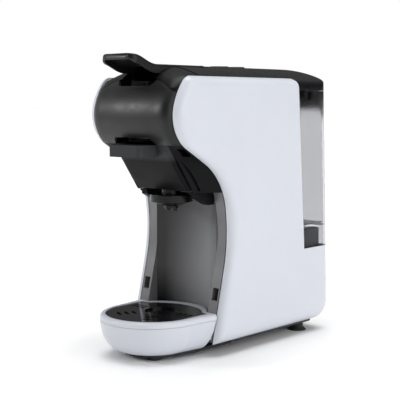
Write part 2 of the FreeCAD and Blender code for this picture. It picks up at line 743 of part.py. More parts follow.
def rear_cover():
    """Back cover under the tank, with vents and the hole for the mains inlet."""
    cover = SHELL.common(box(-53.6, 53.6, 90.0, 150, 14.6, 92.2))
    slits = []
    for row in range(6):
        z = 52.0 + 5.5 * row
        slits.append(box(-30.0, 30.0, 110, 150, z, z + 2.4))
    return cover.cut(group(slits)).cut(rod(6.2, (-34.0, 100, 30.0), 60, "y"))


def cord_gland():
    """Collar in the back cover where the mains lead enters."""
    lean_y = rear_line_y(30.0)
    collar = rod(8.6, (-34.0, lean_y - 2.6, 30.0), 2.6, "y")
    collar = collar.cut(BODY_INSIDE)
    sleeve = rod(6.1, (-34.0, lean_y - 12.0, 30.0), 12.0, "y")
    return sleeve.cut(rod(3.6, (-34.0, 90, 30.0), 60, "y"))


def tank_seat():
    """Grey block under the tank that seals its valve and feeds the pump."""
    block = rounded_box(-53.4, 53.4, 87.0, 123.6, 92.3, 111.0, 6.0)
    socket = rod(9.0, (0, 101.0, 100.0), 20)
    spigot = rod(3.0, (0, 101.0, 98.0), 10.0)
    duct = rod(1.6, (0, 101.0, 80.0), 40.0)
    return fuse(block.cut(socket), spigot).cut(duct)


def chassis():
    """Upright frame inside the body that carries the heater, the pump and the panels' screws."""
    plate = box(-49.0, 49.0, 20.0, 22.4, 14.6, 258.0)
    window = box(-24.0, 24.0, 19.0, 24.0, 110.0, 150.0)
    flanges = [box(-52.0, -49.0, -14.0, 52.0, 14.6, 250.0), box(49.0, 52.0, -14.0, 52.0, 14.6, 250.0)]
    frame = fuse(plate.cut(window), *flanges)
    frame = frame.cut(box(-60, 60, -16, 19.8, 170, 206))
    holes = []
    for y, z in ((-10.0, 236.0), (40.0, 236.0), (-10.0, 40.0), (50.0, 110.0)):
        holes.append(rod(3.0, (-60, y, z), 120, "x"))
    return frame.cut(group(holes))


def boiler():
    """Cast heater block with fins and two water ports."""
    core = rounded_box(-32.0, 32.0, -8.0, 16.0, 172.0, 232.0, 6.0)
    fins = [box(-34.0, 34.0, -8.0, 15.0, z, z + 2.0) for z in (180.0, 190.0, 200.0, 210.0, 220.0)]
    ports = [rod(4.0, (-18.0, 4.0, 168.0), 5.0), rod(4.0, (18.0, 4.0, 231.0), 6.0)]
    legs = [box(x, x + 8.0, 14.0, 19.8, 176.0, 228.0) for x in (-28.0, 20.0)]
    return fuse(core, *fins, *ports, *legs)


def pump():
    """Vibration pump: coil housing, core tube and outlet."""
    coil = rounded_box(-36.0, -4.0, 30.0, 58.0, 50.0, 84.0, 4.0)
    core = rod(8.0, (-20.0, 44.0, 34.0), 66.0)
    inlet = rod(3.4, (-20.0, 44.0, 28.0), 8.0)
    outlet = rod(4.0, (-20.0, 44.0, 98.0), 8.0)
    return fuse(coil, core, inlet, outlet)


def pump_mounts():
    """Two rubber rings on the pump's core and the brackets around them."""
    rings = []
    for z in (40.0, 90.0):
        ring = tube(12.0, 8.1, (-20.0, 44.0, z), 5.0)
        arm = box(-23.0, -17.0, 22.5, 33.0, z, z + 5.0)
        rings.append(fuse(ring, arm.cut(rod(11.0, (-20.0, 44.0, z - 1), 8))))
    return group(rings)


def flow_meter():
    dial = rod(13.0, (22.0, 44.0, 43.0), 12.0)
    ports = [rod(3.4, (22.0, 44.0, 36.0), 8.0), rod(3.4, (22.0, 44.0, 54.0), 8.0)]
    arm = box(16.0, 28.0, 22.4, 34.0, 45.0, 53.0)
    return fuse(dial, *ports, arm)


def control_board():
    """Circuit board with a relay, a transformer and a row of small parts."""
    board = box(-40.0, 40.0, 50.0, 51.6, 125.0, 200.0)
    relay = box(-34.0, -16.0, 44.0, 50.0, 170.0, 190.0)
    transformer = box(6.0, 32.0, 38.0, 50.0, 135.0, 160.0)
    parts = [board, relay, transformer]
    for row in range(4):
        parts.append(rod(3.0, (-30.0 + 10.0 * row, 40.0, 145.0), 10.0, "y"))
    return fuse(*parts)


def board_standoffs():
    """Four spacers between the frame and the board."""
    posts = []
    for x in (-36.0, 36.0):
        for z in (129.0, 196.0):
            posts.append(rod(2.4, (x, 22.4, z), 27.6, "y"))
    return group(posts)


def hose(points, radius, bore):
    """A bent hose through the points, with an arc at each inner point."""
    path = []
    start = points[0]
    for before, corner, after in zip(points, points[1:], points[2:]):
        into = (corner - before).normalize()
        out = (after - corner).normalize()
        turn = into.getAngle(out)
        bend = 9.0
        cut = bend * math.tan(turn / 2)
        first = corner - into * cut
        last = corner + out * cut
        inward = (out - into).normalize()
        middle = corner + inward * (bend / math.cos(turn / 2) - bend)
        path.append(Part.makeLine(start, first))
        path.append(Part.Arc(first, middle, last).toShape())
        start = last
    path.append(Part.makeLine(start, points[-1]))
    wire = Part.Wire(path)
    along = points[1] - points[0]
    outer = Part.Face(Part.Wire(Part.makeCircle(radius, points[0], along)))
    inner = Part.Face(Part.Wire(Part.makeCircle(bore, points[0], along)))
    return wire.makePipe(outer).cut(wire.makePipe(inner))


def hoses():
    """Suction hose, hose from the meter to the pump, and pressure hose to the heater."""
    suction = [(0, 101, 92), (0, 101, 78), (22, 44, 78), (22, 44, 62)]
    metered = [(22, 44, 36), (22, 44, 18.8), (-20, 44, 18.8), (-20, 44, 28)]
    pressure = [(-20, 44, 106), (-20, 44, 130), (-18, 4, 130), (-18, 4, 168)]
    runs = [hose([Vector(*point) for point in run], 3.0, 1.6) for run in (suction, metered, pressure)]
    return group(runs)


def mains_block():
    """Terminal block for the mains lead."""
    return rounded_box(-42.0, -20.0, 94.0, 108.0, 16.0, 30.0, 2.0)


# ---- tray ----
def tray_outline(z, radius, back_gap, ear):
    """Plan of the tray: round in front, straight sides, shoulders and a round back in the niche."""
    shoulder_y = front_y(max(z, 12.0)) - 1.0 - ear
    back_half = RAIL_IN - 1.0 - ear
    back_y = -25.5 - back_gap
    right = Vector(radius, TRAY_Y, z)
    left = Vector(-radius, TRAY_Y, z)
    corner_r = Vector(radius + 3.8, shoulder_y, z)
    corner_l = Vector(-radius - 3.8, shoulder_y, z)
    half = min(back_half, radius - 3.0)
    inner_r = Vector(half, shoulder_y, z)
    inner_l = Vector(-half, shoulder_y, z)
    edges = [
        Part.Arc(left, Vector(0, TRAY_Y - radius, z), right).toShape(),
        Part.makeLine(right, corner_r),
        Part.makeLine(corner_r, inner_r),
        Part.Arc(inner_r, Vector(0, back_y, z), inner_l).toShape(),
        Part.makeLine(inner_l, corner_l),
        Part.makeLine(corner_l, left),
    ]
    return Part.Wire(edges)


TRAY_LEVELS = ((6.6, 33.5, 5.0), (8.4, 38.5, 3.0), (12.0, 43.0, 1.5), (18.4, 47.2, 0.5), (27.5, 50.2, 0.0), (36.2, TRAY_R, 0.0))


def tray_bowl():
    """White bowl of the drip tray with two hooks behind."""
    outer = Part.makeLoft([tray_outline(z, r, g, 0.0) for z, r, g in TRAY_LEVELS], True, False)
    inner_levels = [(z + 2.2, r - 2.4, g + 2.4) for z, r, g in TRAY_LEVELS]
    inner = Part.makeLoft([tray_outline(z, r, g, 2.0) for z, r, g in inner_levels], True, False)
    bowl = outer.cut(inner)
    hooks = []
    for side in (-1, 1):
        x = side * 47.7
        hooks.append(box(x - 3.4, x + 3.4, -53.0, -40.5, 17.0, 26.0))
    hooks = group(hooks).cut(inner)
    return fuse(bowl, *hooks.Solids)


def tray_rim():
    """Ring that closes the bowl's edge and carries the grid."""
    levels = ((36.5, TRAY_R, 0.0), (38.8, TRAY_R - 0.1, 0.0), (40.8, TRAY_R - 1.0, 0.0), (TRAY_TOP_Z, TRAY_R - 3.0, 0.0))
    outer = Part.makeLoft([tray_outline(z, r, g, 0.0) for z, r, g in levels], True, False)
    low = Part.Face(grid_wire(30.0, 3.0)).extrude(Vector(0, 0, 20))
    high = Part.Face(grid_wire(39.2, -0.4)).extrude(Vector(0, 0, 10))
    return outer.cut(low).cut(high)


def grid_wire(z, inset):
    """Plan of the drip grid: a disc with a pointed ear at each back corner."""
    radius = 45.6 - inset
    ear_y = -50.6 - inset * 1.4
    back_y = -32.6 - inset
    bend = Vector(radius - 9.0, ear_y + 1.2, z)
    right = Vector(radius, TRAY_Y, z)
    left = Vector(-radius, TRAY_Y, z)
    corner_r = Vector(radius, ear_y, z)
    corner_l = Vector(-radius, ear_y, z)
    bend_l = Vector(-bend.x, bend.y, z)
    edges = [
        Part.Arc(left, Vector(0, TRAY_Y - radius, z), right).toShape(),
        Part.makeLine(right, corner_r),
        Part.makeLine(corner_r, bend),
        Part.Arc(bend, Vector(0, back_y, z), bend_l).toShape(),
        Part.makeLine(bend_l, corner_l),
        Part.makeLine(corner_l, left),
    ]
    return Part.Wire(edges)


def arc_slot(radius, width, heading, span):
    """A curved slot about the dish's axis, widest in its middle."""
    start = math.radians(heading - span / 2)
    middle = math.radians(heading)
    end = math.radians(heading + span / 2)
    points = []
    for reach, angle in ((radius, start), (radius + width / 2, middle), (radius, end), (radius - width / 2, middle)):
        points.append(Vector(reach * math.cos(angle), DISH_Y + reach * math.sin(angle), 30))
    outer = Part.Arc(points[0], points[1], points[2]).toShape()
    inner = Part.Arc(points[2], points[3], points[0]).toShape()
    return Part.Face(Part.Wire([outer, inner])).extrude(Vector(0, 0, 20))


def drip_grid():
    """Black grid with groups of curved slots round a dished middle with drain holes."""
    plate = Part.Face(grid_wire(39.5, 0.0)).extrude(Vector(0, 0, 1.9))
    dish = rod(18.0, (0, DISH_Y, 37.6), 1.9)
    dish = fuse(dish, tube(18.0, 16.4, (0, DISH_Y, 37.6), 3.6))
    grid = fuse(plate.cut(rod(16.4, (0, DISH_Y, 36), 10)), dish)
    cuts = []
    for ring_radius, count in ((0.0, 1), (6.0, 6), (12.0, 12)):
        for turn in range(count):
            angle = 2 * math.pi * turn / count
            x = ring_radius * math.cos(angle)
            y = DISH_Y + ring_radius * math.sin(angle)
            cuts.append(rod(1.3, (x, y, 30), 20))
    for heading, radii in ((0.0, SIDE_SLOTS), (180.0, SIDE_SLOTS), (242.0, FRONT_SLOTS), (298.0, FRONT_SLOTS)):
        for radius in radii:
            cuts.append(arc_slot(radius, 3.4, heading, 900.0 / radius))
    return grid.cut(group(cuts))


# ---- tank ----
LID_AXIS = (rear_line_y(TANK_TOP_Z) + 2.8, TANK_TOP_Z + 1.0)


def tank_shell():
    """Clear tank with a floor, a skirt below it and a port for the valve."""
    zone = tank_zone(-GAP)
    outer = BODY.common(zone).common(box(-80, 80, 0, 200, TANK_BOTTOM_Z, TANK_TOP_Z))
    inner = whole_body(2.2).common(tank_zone(-GAP - 2.2))
    upper = inner.common(box(-80, 80, 0, 200, TANK_FLOOR_Z + 2.4, 300))
    lowered = tank_zone(-GAP - 2.2)
    lowered.translate(Vector(0, 0.7, -10.0))
    under = whole_body(2.2).common(lowered).common(box(-80, 80, 0, 200, 80, TANK_FLOOR_Z))
    shell = outer.cut(upper).cut(under)
    port = tube(7.6, 4.2, (0, 101.0, TANK_FLOOR_Z - 2.0), 8.0)
    shell = shell.cut(rod(7.6, (0, 101.0, TANK_FLOOR_Z - 3.0), 12.0))
    return fuse(shell, port)


def tank_valve():
    """Plunger that the seat's spigot lifts to let water through."""
    stem = rod(2.2, (0, 101.0, TANK_FLOOR_Z - 6.4), 16.0)
    disc = rod(6.4, (0, 101.0, TANK_FLOOR_Z + 6.4), 2.0)
    return fuse(stem, disc)


def tank_lid():
    """Rounded lid in line with the top cover."""
    shell = CROWN.cut(CROWN_INSIDE)
    zone = tank_zone(-GAP).common(box(-80, 80, SEAM_Y + GAP, 200, TANK_TOP_Z + 0.3, 300))
    lid = shell.common(zone)
    slab = CROWN.common(tank_zone(-GAP)).cut(tank_zone(-GAP - 2.0))
    front_wall = slab.common(box(-80, 80, SEAM_Y + GAP, 200, TANK_TOP_Z + 0.3, 300))
    tabs = []
    outline = [(71.0, 262.0), (71.0, 259.2), (74.6, 259.2), (74.6, 250.8), (80.4, 250.8), (82.4, 253.0), (82.4, 262.0)]
    for x in (47.0, -59.6):
        tabs.append(side_prism(outline, x, x + 12.6))
    lid = fuse(lid, front_wall, *tabs)
    ear = rod(2.6, (20.0, LID_AXIS[0], LID_AXIS[1]), 14.0, "x")
    web = box(20.0, 34.0, LID_AXIS[0] - 4.9, LID_AXIS[0], LID_AXIS[1], LID_AXIS[1] + 2.5)
    knuckle = fuse(ear, web)
    for x in (15.6, 33.9):
        room = rod(3.0, (x, LID_AXIS[0], LID_AXIS[1]), 4.5, "x")
        lid = lid.cut(room).cut(mirrored(room))
    lid = fuse(lid, knuckle, mirrored(knuckle))
    return lid.cut(rod(1.26, (-60, LID_AXIS[0], LID_AXIS[1]), 120, "x"))


def tank_hinge():
    """Knuckles on the tank's back edge and the lid's two pins."""
    y, z = LID_AXIS
    blocks = []
    for x in (16.0, 34.3):
        knuckle = rod(2.6, (x, y, z), 3.7, "x")
        arm = box(x, x + 3.7, y - 4.0, y + 2.0, z - 10.0, z - 1.0)
        arm = arm.cut(CROWN)
        block = fuse(knuckle, arm)
        block = block.cut(rod(1.2, (x - 1, y, z), 6, "x"))
        blocks.append(block)
        blocks.append(mirrored(block))
    return group(blocks)


def lid_pins():
    y, z = LID_AXIS
    pin = rod(1.2, (15.4, y, z), 23.2, "x")
    return group([pin, mirrored(pin)])


def button(y, radius):
    """Round push button with a stem below."""
    cap = rod(radius, (0, y, 277.0), 6.4)
    rim = edges_where(cap, lambda e: e.CenterOfMass.z > 282)
    cap = cap.makeFillet(1.0, rim)
    stem = rod(3.0, (0, y, 270.0), 8.0)
    return fuse(cap, stem)


def write_all():
    panel = side_panel_right()
    save(panel, "side_panel_right")
    save(mirrored(panel), "side_panel_left")
    save(panel_screws(), "panel_screws")
    save(head_front_cover(), "head_front_cover")
    save(top_cover(), "top_cover")
    save(lever_well(), "lever_well")
    cheek = cheek_right()
    save(cheek, "head_cheek_right")
    save(mirrored(cheek), "head_cheek_left")
    save(head_floor(), "head_floor")
    save(brew_frame(), "brew_frame")
    save(lever_pin(), "lever_pin")
    save(lever(), "lever")
    save(brew_piston(), "brew_piston")
    save(piston_seal(), "piston_seal")
    save(needle_plate(), "needle_plate")
    save(spring(20.6, 0.7, (0, BREW_Y, 219.4), 18.0, 4), "piston_spring")
    save(drawer_front(), "drawer_front")
    save(cup_carrier(), "cup_carrier")
    save(pod_cup(), "pod_cup")
    save(cup_ring(), "cup_ring")
    save(cup_spout(), "cup_spout")
    save(niche_wall(), "niche_wall")
    rail = rail_right()
    save(rail, "rail_right")
    save(mirrored(rail), "rail_left")
    save(base_plate(), "base_plate")
    save(rubber_feet(), "rubber_feet")
    save(tank_bay(), "tank_bay")
    save(rear_cover(), "rear_cover")
    save(cord_gland(), "cord_gland")
    save(tank_seat(), "tank_seat")
    save(chassis(), "chassis")
    save(boiler(), "boiler")
    save(pump(), "pump")
    save(pump_mounts(), "pump_mounts")
    save(flow_meter(), "flow_meter")
    save(control_board(), "control_board")
    save(board_standoffs(), "board_standoffs")
    save(hoses(), "hoses")
    save(mains_block(), "mains_block")
    save(tray_bowl(), "tray_bowl")
    save(tray_rim(), "tray_rim")
    save(drip_grid(), "drip_grid")
    save(tank_shell(), "tank_shell")
    save(tank_valve(), "tank_valve")
    save(tank_lid(), "tank_lid")
    save(tank_hinge(), "tank_hinge")
    save(lid_pins(), "lid_pins")
    names = ("button_small_cup", "button_large_cup")
    for (y, radius), name in zip(BUTTONS, names):
        save(button(y, radius), name)
        save(tube(5.6, 4.4, (0, y, 274.1), 2.8), name.replace("button", "dome"))


write_all()
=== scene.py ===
import json
import math

import bmesh
import bpy
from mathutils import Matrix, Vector


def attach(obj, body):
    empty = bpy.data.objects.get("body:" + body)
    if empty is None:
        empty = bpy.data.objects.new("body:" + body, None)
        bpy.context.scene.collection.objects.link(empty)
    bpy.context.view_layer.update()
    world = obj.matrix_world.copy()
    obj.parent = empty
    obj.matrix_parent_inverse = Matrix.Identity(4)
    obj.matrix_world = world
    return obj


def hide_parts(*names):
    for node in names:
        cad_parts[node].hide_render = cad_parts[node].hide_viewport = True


# Metres, in the CAD's frame: X across, -Y to the front, Z up, the origin under the machine's middle.
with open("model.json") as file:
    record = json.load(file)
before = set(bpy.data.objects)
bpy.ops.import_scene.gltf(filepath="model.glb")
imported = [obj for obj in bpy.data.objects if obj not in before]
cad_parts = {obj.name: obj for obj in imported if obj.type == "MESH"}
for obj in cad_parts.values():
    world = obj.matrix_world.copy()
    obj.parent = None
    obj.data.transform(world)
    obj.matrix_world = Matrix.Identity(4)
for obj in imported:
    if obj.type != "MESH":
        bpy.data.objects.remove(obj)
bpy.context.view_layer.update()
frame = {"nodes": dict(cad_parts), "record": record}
nodes = frame["nodes"]


# ---------------- shader helpers ----------------
def new_material(name):
    material = bpy.data.materials.new(name)
    material.use_nodes = True
    tree = material.node_tree
    tree.nodes.clear()
    output = tree.nodes.new("ShaderNodeOutputMaterial")
    shader = tree.nodes.new("ShaderNodeBsdfPrincipled")
    tree.links.new(shader.outputs["BSDF"], output.inputs["Surface"])
    return material, tree, shader


def noise(tree, scale, detail=4.0, roughness=0.55, distortion=0.0):
    """Noise texture with scale features per metre of the piece."""
    coords = tree.nodes.new("ShaderNodeTexCoord")
    texture = tree.nodes.new("ShaderNodeTexNoise")
    texture.inputs["Scale"].default_value = scale
    texture.inputs["Detail"].default_value = detail
    texture.inputs["Roughness"].default_value = roughness
    texture.inputs["Distortion"].default_value = distortion
    tree.links.new(coords.outputs["Object"], texture.inputs["Vector"])
    return texture.outputs["Fac"]


def spread(tree, value, low, high, from_low=0.35, from_high=0.65):
    """Maps value from the range from_low to from_high onto low to high, clamped at both ends."""
    node = tree.nodes.new("ShaderNodeMapRange")
    node.inputs["From Min"].default_value = from_low
    node.inputs["From Max"].default_value = from_high
    node.inputs["To Min"].default_value = low
    node.inputs["To Max"].default_value = high
    tree.links.new(value, node.inputs["Value"])
    return node.outputs["Result"]


def mix_colours(tree, value, first, second):
    """Mixes from first to second as value goes from 0 to 1. Each is a colour or another node's output."""
    node = tree.nodes.new("ShaderNodeMix")
    node.data_type = "RGBA"
    tree.links.new(value, node.inputs["Factor"])
    for socket, colour in ((node.inputs["A"], first), (node.inputs["B"], second)):
        if isinstance(colour, bpy.types.NodeSocket):
            tree.links.new(colour, socket)
        else:
            socket.default_value = (*colour, 1.0)
    return node.outputs["Result"]


def object_axes(tree):
    """Outputs X, Y and Z: a point's place in the CAD frame while its piece is at rest."""
    place = tree.nodes.new("ShaderNodeTexCoord")
    axes = tree.nodes.new("ShaderNodeSeparateXYZ")
    tree.links.new(place.outputs["Object"], axes.inputs["Vector"])
    return axes.outputs


# ---------------- materials ----------------
PLASTIC_IOR = 1.5
CLEAR_IOR = 1.16        # below real plastic's 1.5, so that the tank's walls distort less
COAT_ROUGHNESS = 0.12
GLOSS_WEAR = 0.05       # how far the roughness wanders to each side
GRAIN_HEIGHT, GRAIN_DETAIL = 0.001, 2.0
DRIFT_NOISE = {"scale": 22.0, "detail": 3.0}
SMUDGE_NOISE = {"scale": 55.0, "detail": 6.0, "roughness": 0.65, "distortion": 0.4}
HAZE_NOISE = {"scale": 30.0, "detail": 5.0}
BLACK = (0.006, 0.006, 0.007)
LIP_LIT = (0.040, 0.041, 0.045)
LIP_FADE_Z = (0.190, 0.196)
NICHE_DARK = (0.008, 0.008, 0.010)
NICHE_LOW = (0.42, 0.425, 0.44)
NICHE_HIGH = (0.085, 0.087, 0.092)
NICHE_FADE_X = (-0.034, 0.024)
NICHE_FADE_Z = (0.030, 0.140)


def drifting_colour(tree, colour, shade):
    """A colour that drifts slowly between a little darker and a little lighter."""
    drift = spread(tree, noise(tree, **DRIFT_NOISE), 0.0, 1.0)
    darker = tuple(max(c * (1.0 - shade), 0.0) for c in colour)
    lighter = tuple(min(c * (1.0 + shade), 1.0) for c in colour)
    return mix_colours(tree, drift, darker, lighter)


def drawer_colour(tree):
    """Black, with a lighter lip: it stands in for the studio's light on the lip's top."""
    lip_zone = spread(tree, object_axes(tree)["Z"], 0.0, 1.0, *LIP_FADE_Z)
    return mix_colours(tree, lip_zone, BLACK, LIP_LIT)


def niche_colour(tree):
    """Dark at the left, lighter to the right and lowest down: it stands in for the studio's light."""
    axes = object_axes(tree)
    upward = spread(tree, axes["Z"], 0.0, 1.0, *NICHE_FADE_Z)
    lit_side = mix_colours(tree, upward, NICHE_LOW, NICHE_HIGH)
    across = spread(tree, axes["X"], 0.0, 1.0, *NICHE_FADE_X)
    return mix_colours(tree, across, NICHE_DARK, lit_side)


def plastic(name, colour, rough, shade, grain, grain_depth, coat=0.0, metallic=0.0, specular=0.5):
    """Moulded plastic or metal with uneven gloss and a fine grain. The colour drifts by shade. If it is
    a function, that makes the colour's nodes instead."""
    material, tree, shader = new_material(name)
    base = colour(tree) if callable(colour) else drifting_colour(tree, colour, shade)
    tree.links.new(base, shader.inputs["Base Color"])
    smudge = spread(tree, noise(tree, **SMUDGE_NOISE), rough - GLOSS_WEAR, rough + GLOSS_WEAR)
    tree.links.new(smudge, shader.inputs["Roughness"])
    bump = tree.nodes.new("ShaderNodeBump")
    bump.inputs["Strength"].default_value = grain_depth
    bump.inputs["Distance"].default_value = GRAIN_HEIGHT
    tree.links.new(noise(tree, grain, GRAIN_DETAIL), bump.inputs["Height"])
    tree.links.new(bump.outputs["Normal"], shader.inputs["Normal"])
    shader.inputs["Metallic"].default_value = metallic
    shader.inputs["IOR"].default_value = PLASTIC_IOR
    shader.inputs["Specular IOR Level"].default_value = specular
    shader.inputs["Coat Weight"].default_value = coat
    shader.inputs["Coat Roughness"].default_value = COAT_ROUGHNESS
    return material


def clear_plastic(name, tint, rough):
    """Transparent plastic, a little hazy in places."""
    material, tree, shader = new_material(name)
    shader.inputs["Base Color"].default_value = (*tint, 1.0)
    shader.inputs["Transmission Weight"].default_value = 1.0
    shader.inputs["IOR"].default_value = CLEAR_IOR
    haze = spread(tree, noise(tree, **HAZE_NOISE), rough, rough + GLOSS_WEAR)
    tree.links.new(haze, shader.inputs["Roughness"])
    return material


def dress(node_name, material):
    """Puts one material on the whole of a loaded node."""
    mesh = nodes[node_name].data
    for index in range(len(mesh.materials)):
        mesh.materials[index] = material


# One line for each material slot of the record: colour, roughness, drift, grains per metre, grain depth.
looks = {
    "white_panel": plastic("white_panel", (0.62, 0.643, 0.697), 0.36, 0.012, 1500.0, 0.015, coat=0.12),
    "tray_white": plastic("tray_white", (0.60, 0.622, 0.675), 0.34, 0.012, 1500.0, 0.015, coat=0.12),
    "graphite": plastic("graphite", (0.006, 0.0064, 0.0072), 0.40, 0.08, 3200.0, 0.03, specular=0.40),
    "black_satin": plastic("black_satin", (0.004, 0.004, 0.005), 0.30, 0.10, 3000.0, 0.03, specular=0.12),
    "lever_black": plastic("lever_black", BLACK, 0.34, 0.10, 3000.0, 0.008, specular=0.24),
    "black_textured": plastic("black_textured", BLACK, 0.46, 0.12, 3400.0, 0.16, specular=0.08),
    "cup_black": plastic("cup_black", (0.005, 0.005, 0.006), 0.25, 0.10, 3000.0, 0.03, specular=0.25),
    "niche_grey": plastic("niche_grey", niche_colour, 0.34, 0.0, 1200.0, 0.004),
    "rail_grey": plastic("rail_grey", (0.17, 0.17, 0.175), 0.40, 0.05, 2600.0, 0.03, metallic=0.35),
    "grid_black": plastic("grid_black", (0.005, 0.005, 0.006), 0.12, 0.10, 1200.0, 0.01, specular=0.35),
    "base_black": plastic("base_black", (0.014, 0.014, 0.015), 0.55, 0.12, 3000.0, 0.12),
    "seat_grey": plastic("seat_grey", (0.055, 0.057, 0.061), 0.45, 0.08, 2600.0, 0.06),
    "bay_black": plastic("bay_black", (0.016, 0.016, 0.018), 0.50, 0.10, 2800.0, 0.10),
    "rubber_black": plastic("rubber_black", (0.012, 0.012, 0.012), 0.72, 0.15, 1800.0, 0.20),
    "steel": plastic("steel", (0.55, 0.55, 0.57), 0.28, 0.05, 1800.0, 0.05, metallic=1.0),
    "spring_steel": plastic("spring_steel", (0.60, 0.60, 0.62), 0.22, 0.05, 1800.0, 0.02, metallic=1.0),
    "cast_heater": plastic("cast_heater", (0.48, 0.48, 0.49), 0.48, 0.08, 1600.0, 0.25, metallic=1.0),
    "pump_body": plastic("pump_body", (0.36, 0.33, 0.27), 0.50, 0.08, 2200.0, 0.08),
    "meter_body": plastic("meter_body", (0.55, 0.55, 0.52), 0.40, 0.05, 2200.0, 0.05),
    "board_green": plastic("board_green", (0.012, 0.10, 0.045), 0.35, 0.15, 900.0, 0.05),
    "brass_posts": plastic("brass_posts", (0.62, 0.44, 0.17), 0.30, 0.06, 1800.0, 0.04, metallic=1.0),
    "hose_clear": plastic("hose_clear", (0.50, 0.50, 0.48), 0.35, 0.05, 1500.0, 0.05),
    "terminal": plastic("terminal", (0.62, 0.60, 0.55), 0.45, 0.05, 2200.0, 0.05),
    "valve_white": plastic("valve_white", (0.62, 0.62, 0.62), 0.40, 0.04, 2200.0, 0.05),
    "button_face": plastic("button_face", (0.010, 0.010, 0.011), 0.30, 0.10, 2600.0, 0.03),
    "tank_clear": clear_plastic("tank_clear", (0.67, 0.672, 0.69), 0.05),
}
for part in frame["record"]["subparts"]:
    dress(part["node"], looks[part["material_slot"]])

# The drawer's front has the textured black with a lit lip.
dress("drawer_front", plastic("drawer_black", drawer_colour, 0.46, 0.0, 3400.0, 0.16, specular=0.08))


# ---------------- lever ----------------
PIVOT_Y, PIVOT_Z = -0.034, 0.271
LEVER_HALF = 0.022
HUB_RADIUS, HUB_BORE = 0.0113, 0.0031
HUB_STEPS = 48
ARM_BEHIND_PIVOT = 0.004
TO_FRONT = 180.0        # heading of a line that runs level towards -Y, in degrees
# The arm's top line, piece by piece: length of a straight or radius of an arc, turn in degrees, steps.
LEVER_PATH = ((0.062, 0.0, 6), (0.032, -24.0, 8), (0.0081, 0.0, 3), (0.034, 18.0, 8), (0.0038, 0.0, 6))

ARM_DEPTH = 0.0070      # height of the side walls near the hub
TIP_DEPTH = 0.0016      # what they gain from DEEPEN_FROM ahead of the tip, over DEEPEN_OVER
DEEPEN_FROM, DEEPEN_OVER = 0.060, 0.030
TIP_RUN, TIP_RISE = 0.009, 0.0046      # the underside rises again over the last stretch
TIP_CORNER = 0.0065     # round corners of the tip, seen from above
SIDE_WALL, ROOF = 0.0026, 0.0022
TIP_FLOOR = 0.0003      # what is left under the roof where the tip is closed
EDGE_ROUND, EDGE_STEPS = 0.0026, 5
FLAT_SHARE = 0.45       # where the flat top has a point, as a share of the half width
CHAMFER_RUN, CHAMFER_DROP = 0.002, 0.0008      # inner corner under the roof
SHARP_EDGE = 38.0       # edges sharper than this many degrees aren't smoothed

# The cams' rim: degrees forward from straight down, distance from the pivot.
CAM_RADII = ((-30, 0.0180), (-14, 0.0226), (0, 0.0249), (20, 0.0224), (40, 0.0200), (60, 0.0176),
             (80, 0.0162), (110, 0.0110))
CAM_STEPS = 4
CAM_CLEARANCE = 0.0001
CAM_TOP = 0.005
CAM_INNER_X, CAM_OUTER_X = 0.012, 0.020


def lever_line():
    """The lever's top line as (y, z, heading): flat arm, upward bend, then the tip."""
    stations = []
    y, z, heading = PIVOT_Y + ARM_BEHIND_PIVOT, PIVOT_Z + HUB_RADIUS, TO_FRONT
    for size, turn, steps in LEVER_PATH:
        half_turn = turn / steps / 2
        chord = 2 * size * math.sin(math.radians(abs(half_turn))) if turn else size / steps
        for _ in range(steps):
            stations.append((y, z, heading))
            heading += half_turn
            y += chord * math.cos(math.radians(heading))
            z += chord * math.sin(math.radians(heading))
            heading += half_turn
    stations.append((y, z, heading))
    return stations


def mirrored(points):
    """The same points on the other side of the lever, in the opposite order."""
    return [(-x, drop) for x, drop in reversed(points)]


def lever_section(half, depth, roof):
    """Channel section as (x, drop below the top line), round at its upper edges and open below."""
    outer = [(-half, depth), (-half, EDGE_ROUND)]
    for step in range(1, EDGE_STEPS + 1):
        angle = math.radians(90.0 * step / EDGE_STEPS)
        outer.append((-half + EDGE_ROUND * (1 - math.cos(angle)), EDGE_ROUND * (1 - math.sin(angle))))
    top = [(-half * FLAT_SHARE, 0.0), (0.0, 0.0), (half * FLAT_SHARE, 0.0)]
    inside = half - SIDE_WALL
    inner = [(inside, depth), (inside - CHAMFER_DROP, roof + CHAMFER_DROP), (inside - CHAMFER_RUN, roof)]
    return outer + top + mirrored(outer) + inner + [(0.0, roof)] + mirrored(inner)


def join_rings(work, first, second):
    """A band of faces between two rings with the same number of points."""
    count = len(first)
    for index in range(count):
        following = (index + 1) % count
        work.faces.new((first[index], first[following], second[following], second[index]))


def lever_arm():
    """The arm's sections along its line, joined and closed at both ends."""
    work = bmesh.new()
    rings = []
    stations = lever_line()
    tip_y = stations[-1][0]
    for y, z, heading in stations:
        along = math.radians(heading)
        down = (-math.sin(along), math.cos(along))
        to_tip = y - tip_y
        half = LEVER_HALF
        if to_tip < TIP_CORNER:
            half += math.sqrt(max(TIP_CORNER ** 2 - (TIP_CORNER - to_tip) ** 2, 0.0)) - TIP_CORNER
        depth = ARM_DEPTH + TIP_DEPTH * min(max((DEEPEN_FROM - to_tip) / DEEPEN_OVER, 0.0), 1.0)
        if to_tip < TIP_RUN:
            depth -= TIP_RISE * (1 - to_tip / TIP_RUN) ** 2
        roof = ROOF if to_tip > ROOF else depth - TIP_FLOOR
        ring = []
        for x, drop in lever_section(half, depth, roof):
            ring.append(work.verts.new((x, y + down[0] * drop, z + down[1] * drop)))
        rings.append(ring)
    for first, second in zip(rings, rings[1:]):
        join_rings(work, first, second)
    work.faces.new(rings[0])
    work.faces.new(list(reversed(rings[-1])))
    return work


